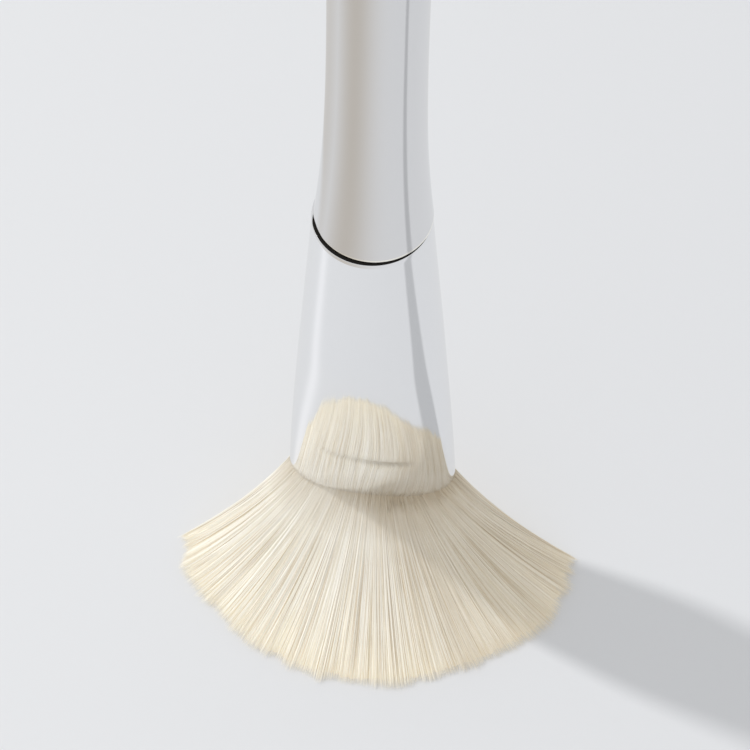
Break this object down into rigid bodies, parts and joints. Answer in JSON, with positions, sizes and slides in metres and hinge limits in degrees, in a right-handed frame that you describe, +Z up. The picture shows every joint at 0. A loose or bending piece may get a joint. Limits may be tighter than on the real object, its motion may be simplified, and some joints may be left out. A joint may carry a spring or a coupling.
{
  "type": "face mask brush",
  "caption": "Face mask brush standing on its splayed pale bristles: polished round-to-oval metal ferrule and a turned metal handle.",
  "frame": {"origin": "on the surface that the bristles are pressed on, under the ferrule's axis", "axes": "+Z up the ferrule's axis, X along the mouth's long side, -Y to the splayed front"},
  "size_m": [0.0456, 0.0303, 0.1717],
  "materials": {
    "handle_metal": "polished, faintly warm mirror",
    "ferrule_metal": "mirror",
    "joint_adhesive": "dark set adhesive",
    "root_adhesive": "clear amber set adhesive",
    "bristle_fibre": "soft cream synthetic fibre"
  },
  "bodies": {
    "root": {"handle": "handle_metal", "ferrule": "ferrule_metal", "joint_adhesive": "joint_adhesive", "root_adhesive": "root_adhesive", "bristles": "bristle_fibre"}
  },
  "joints": []
}
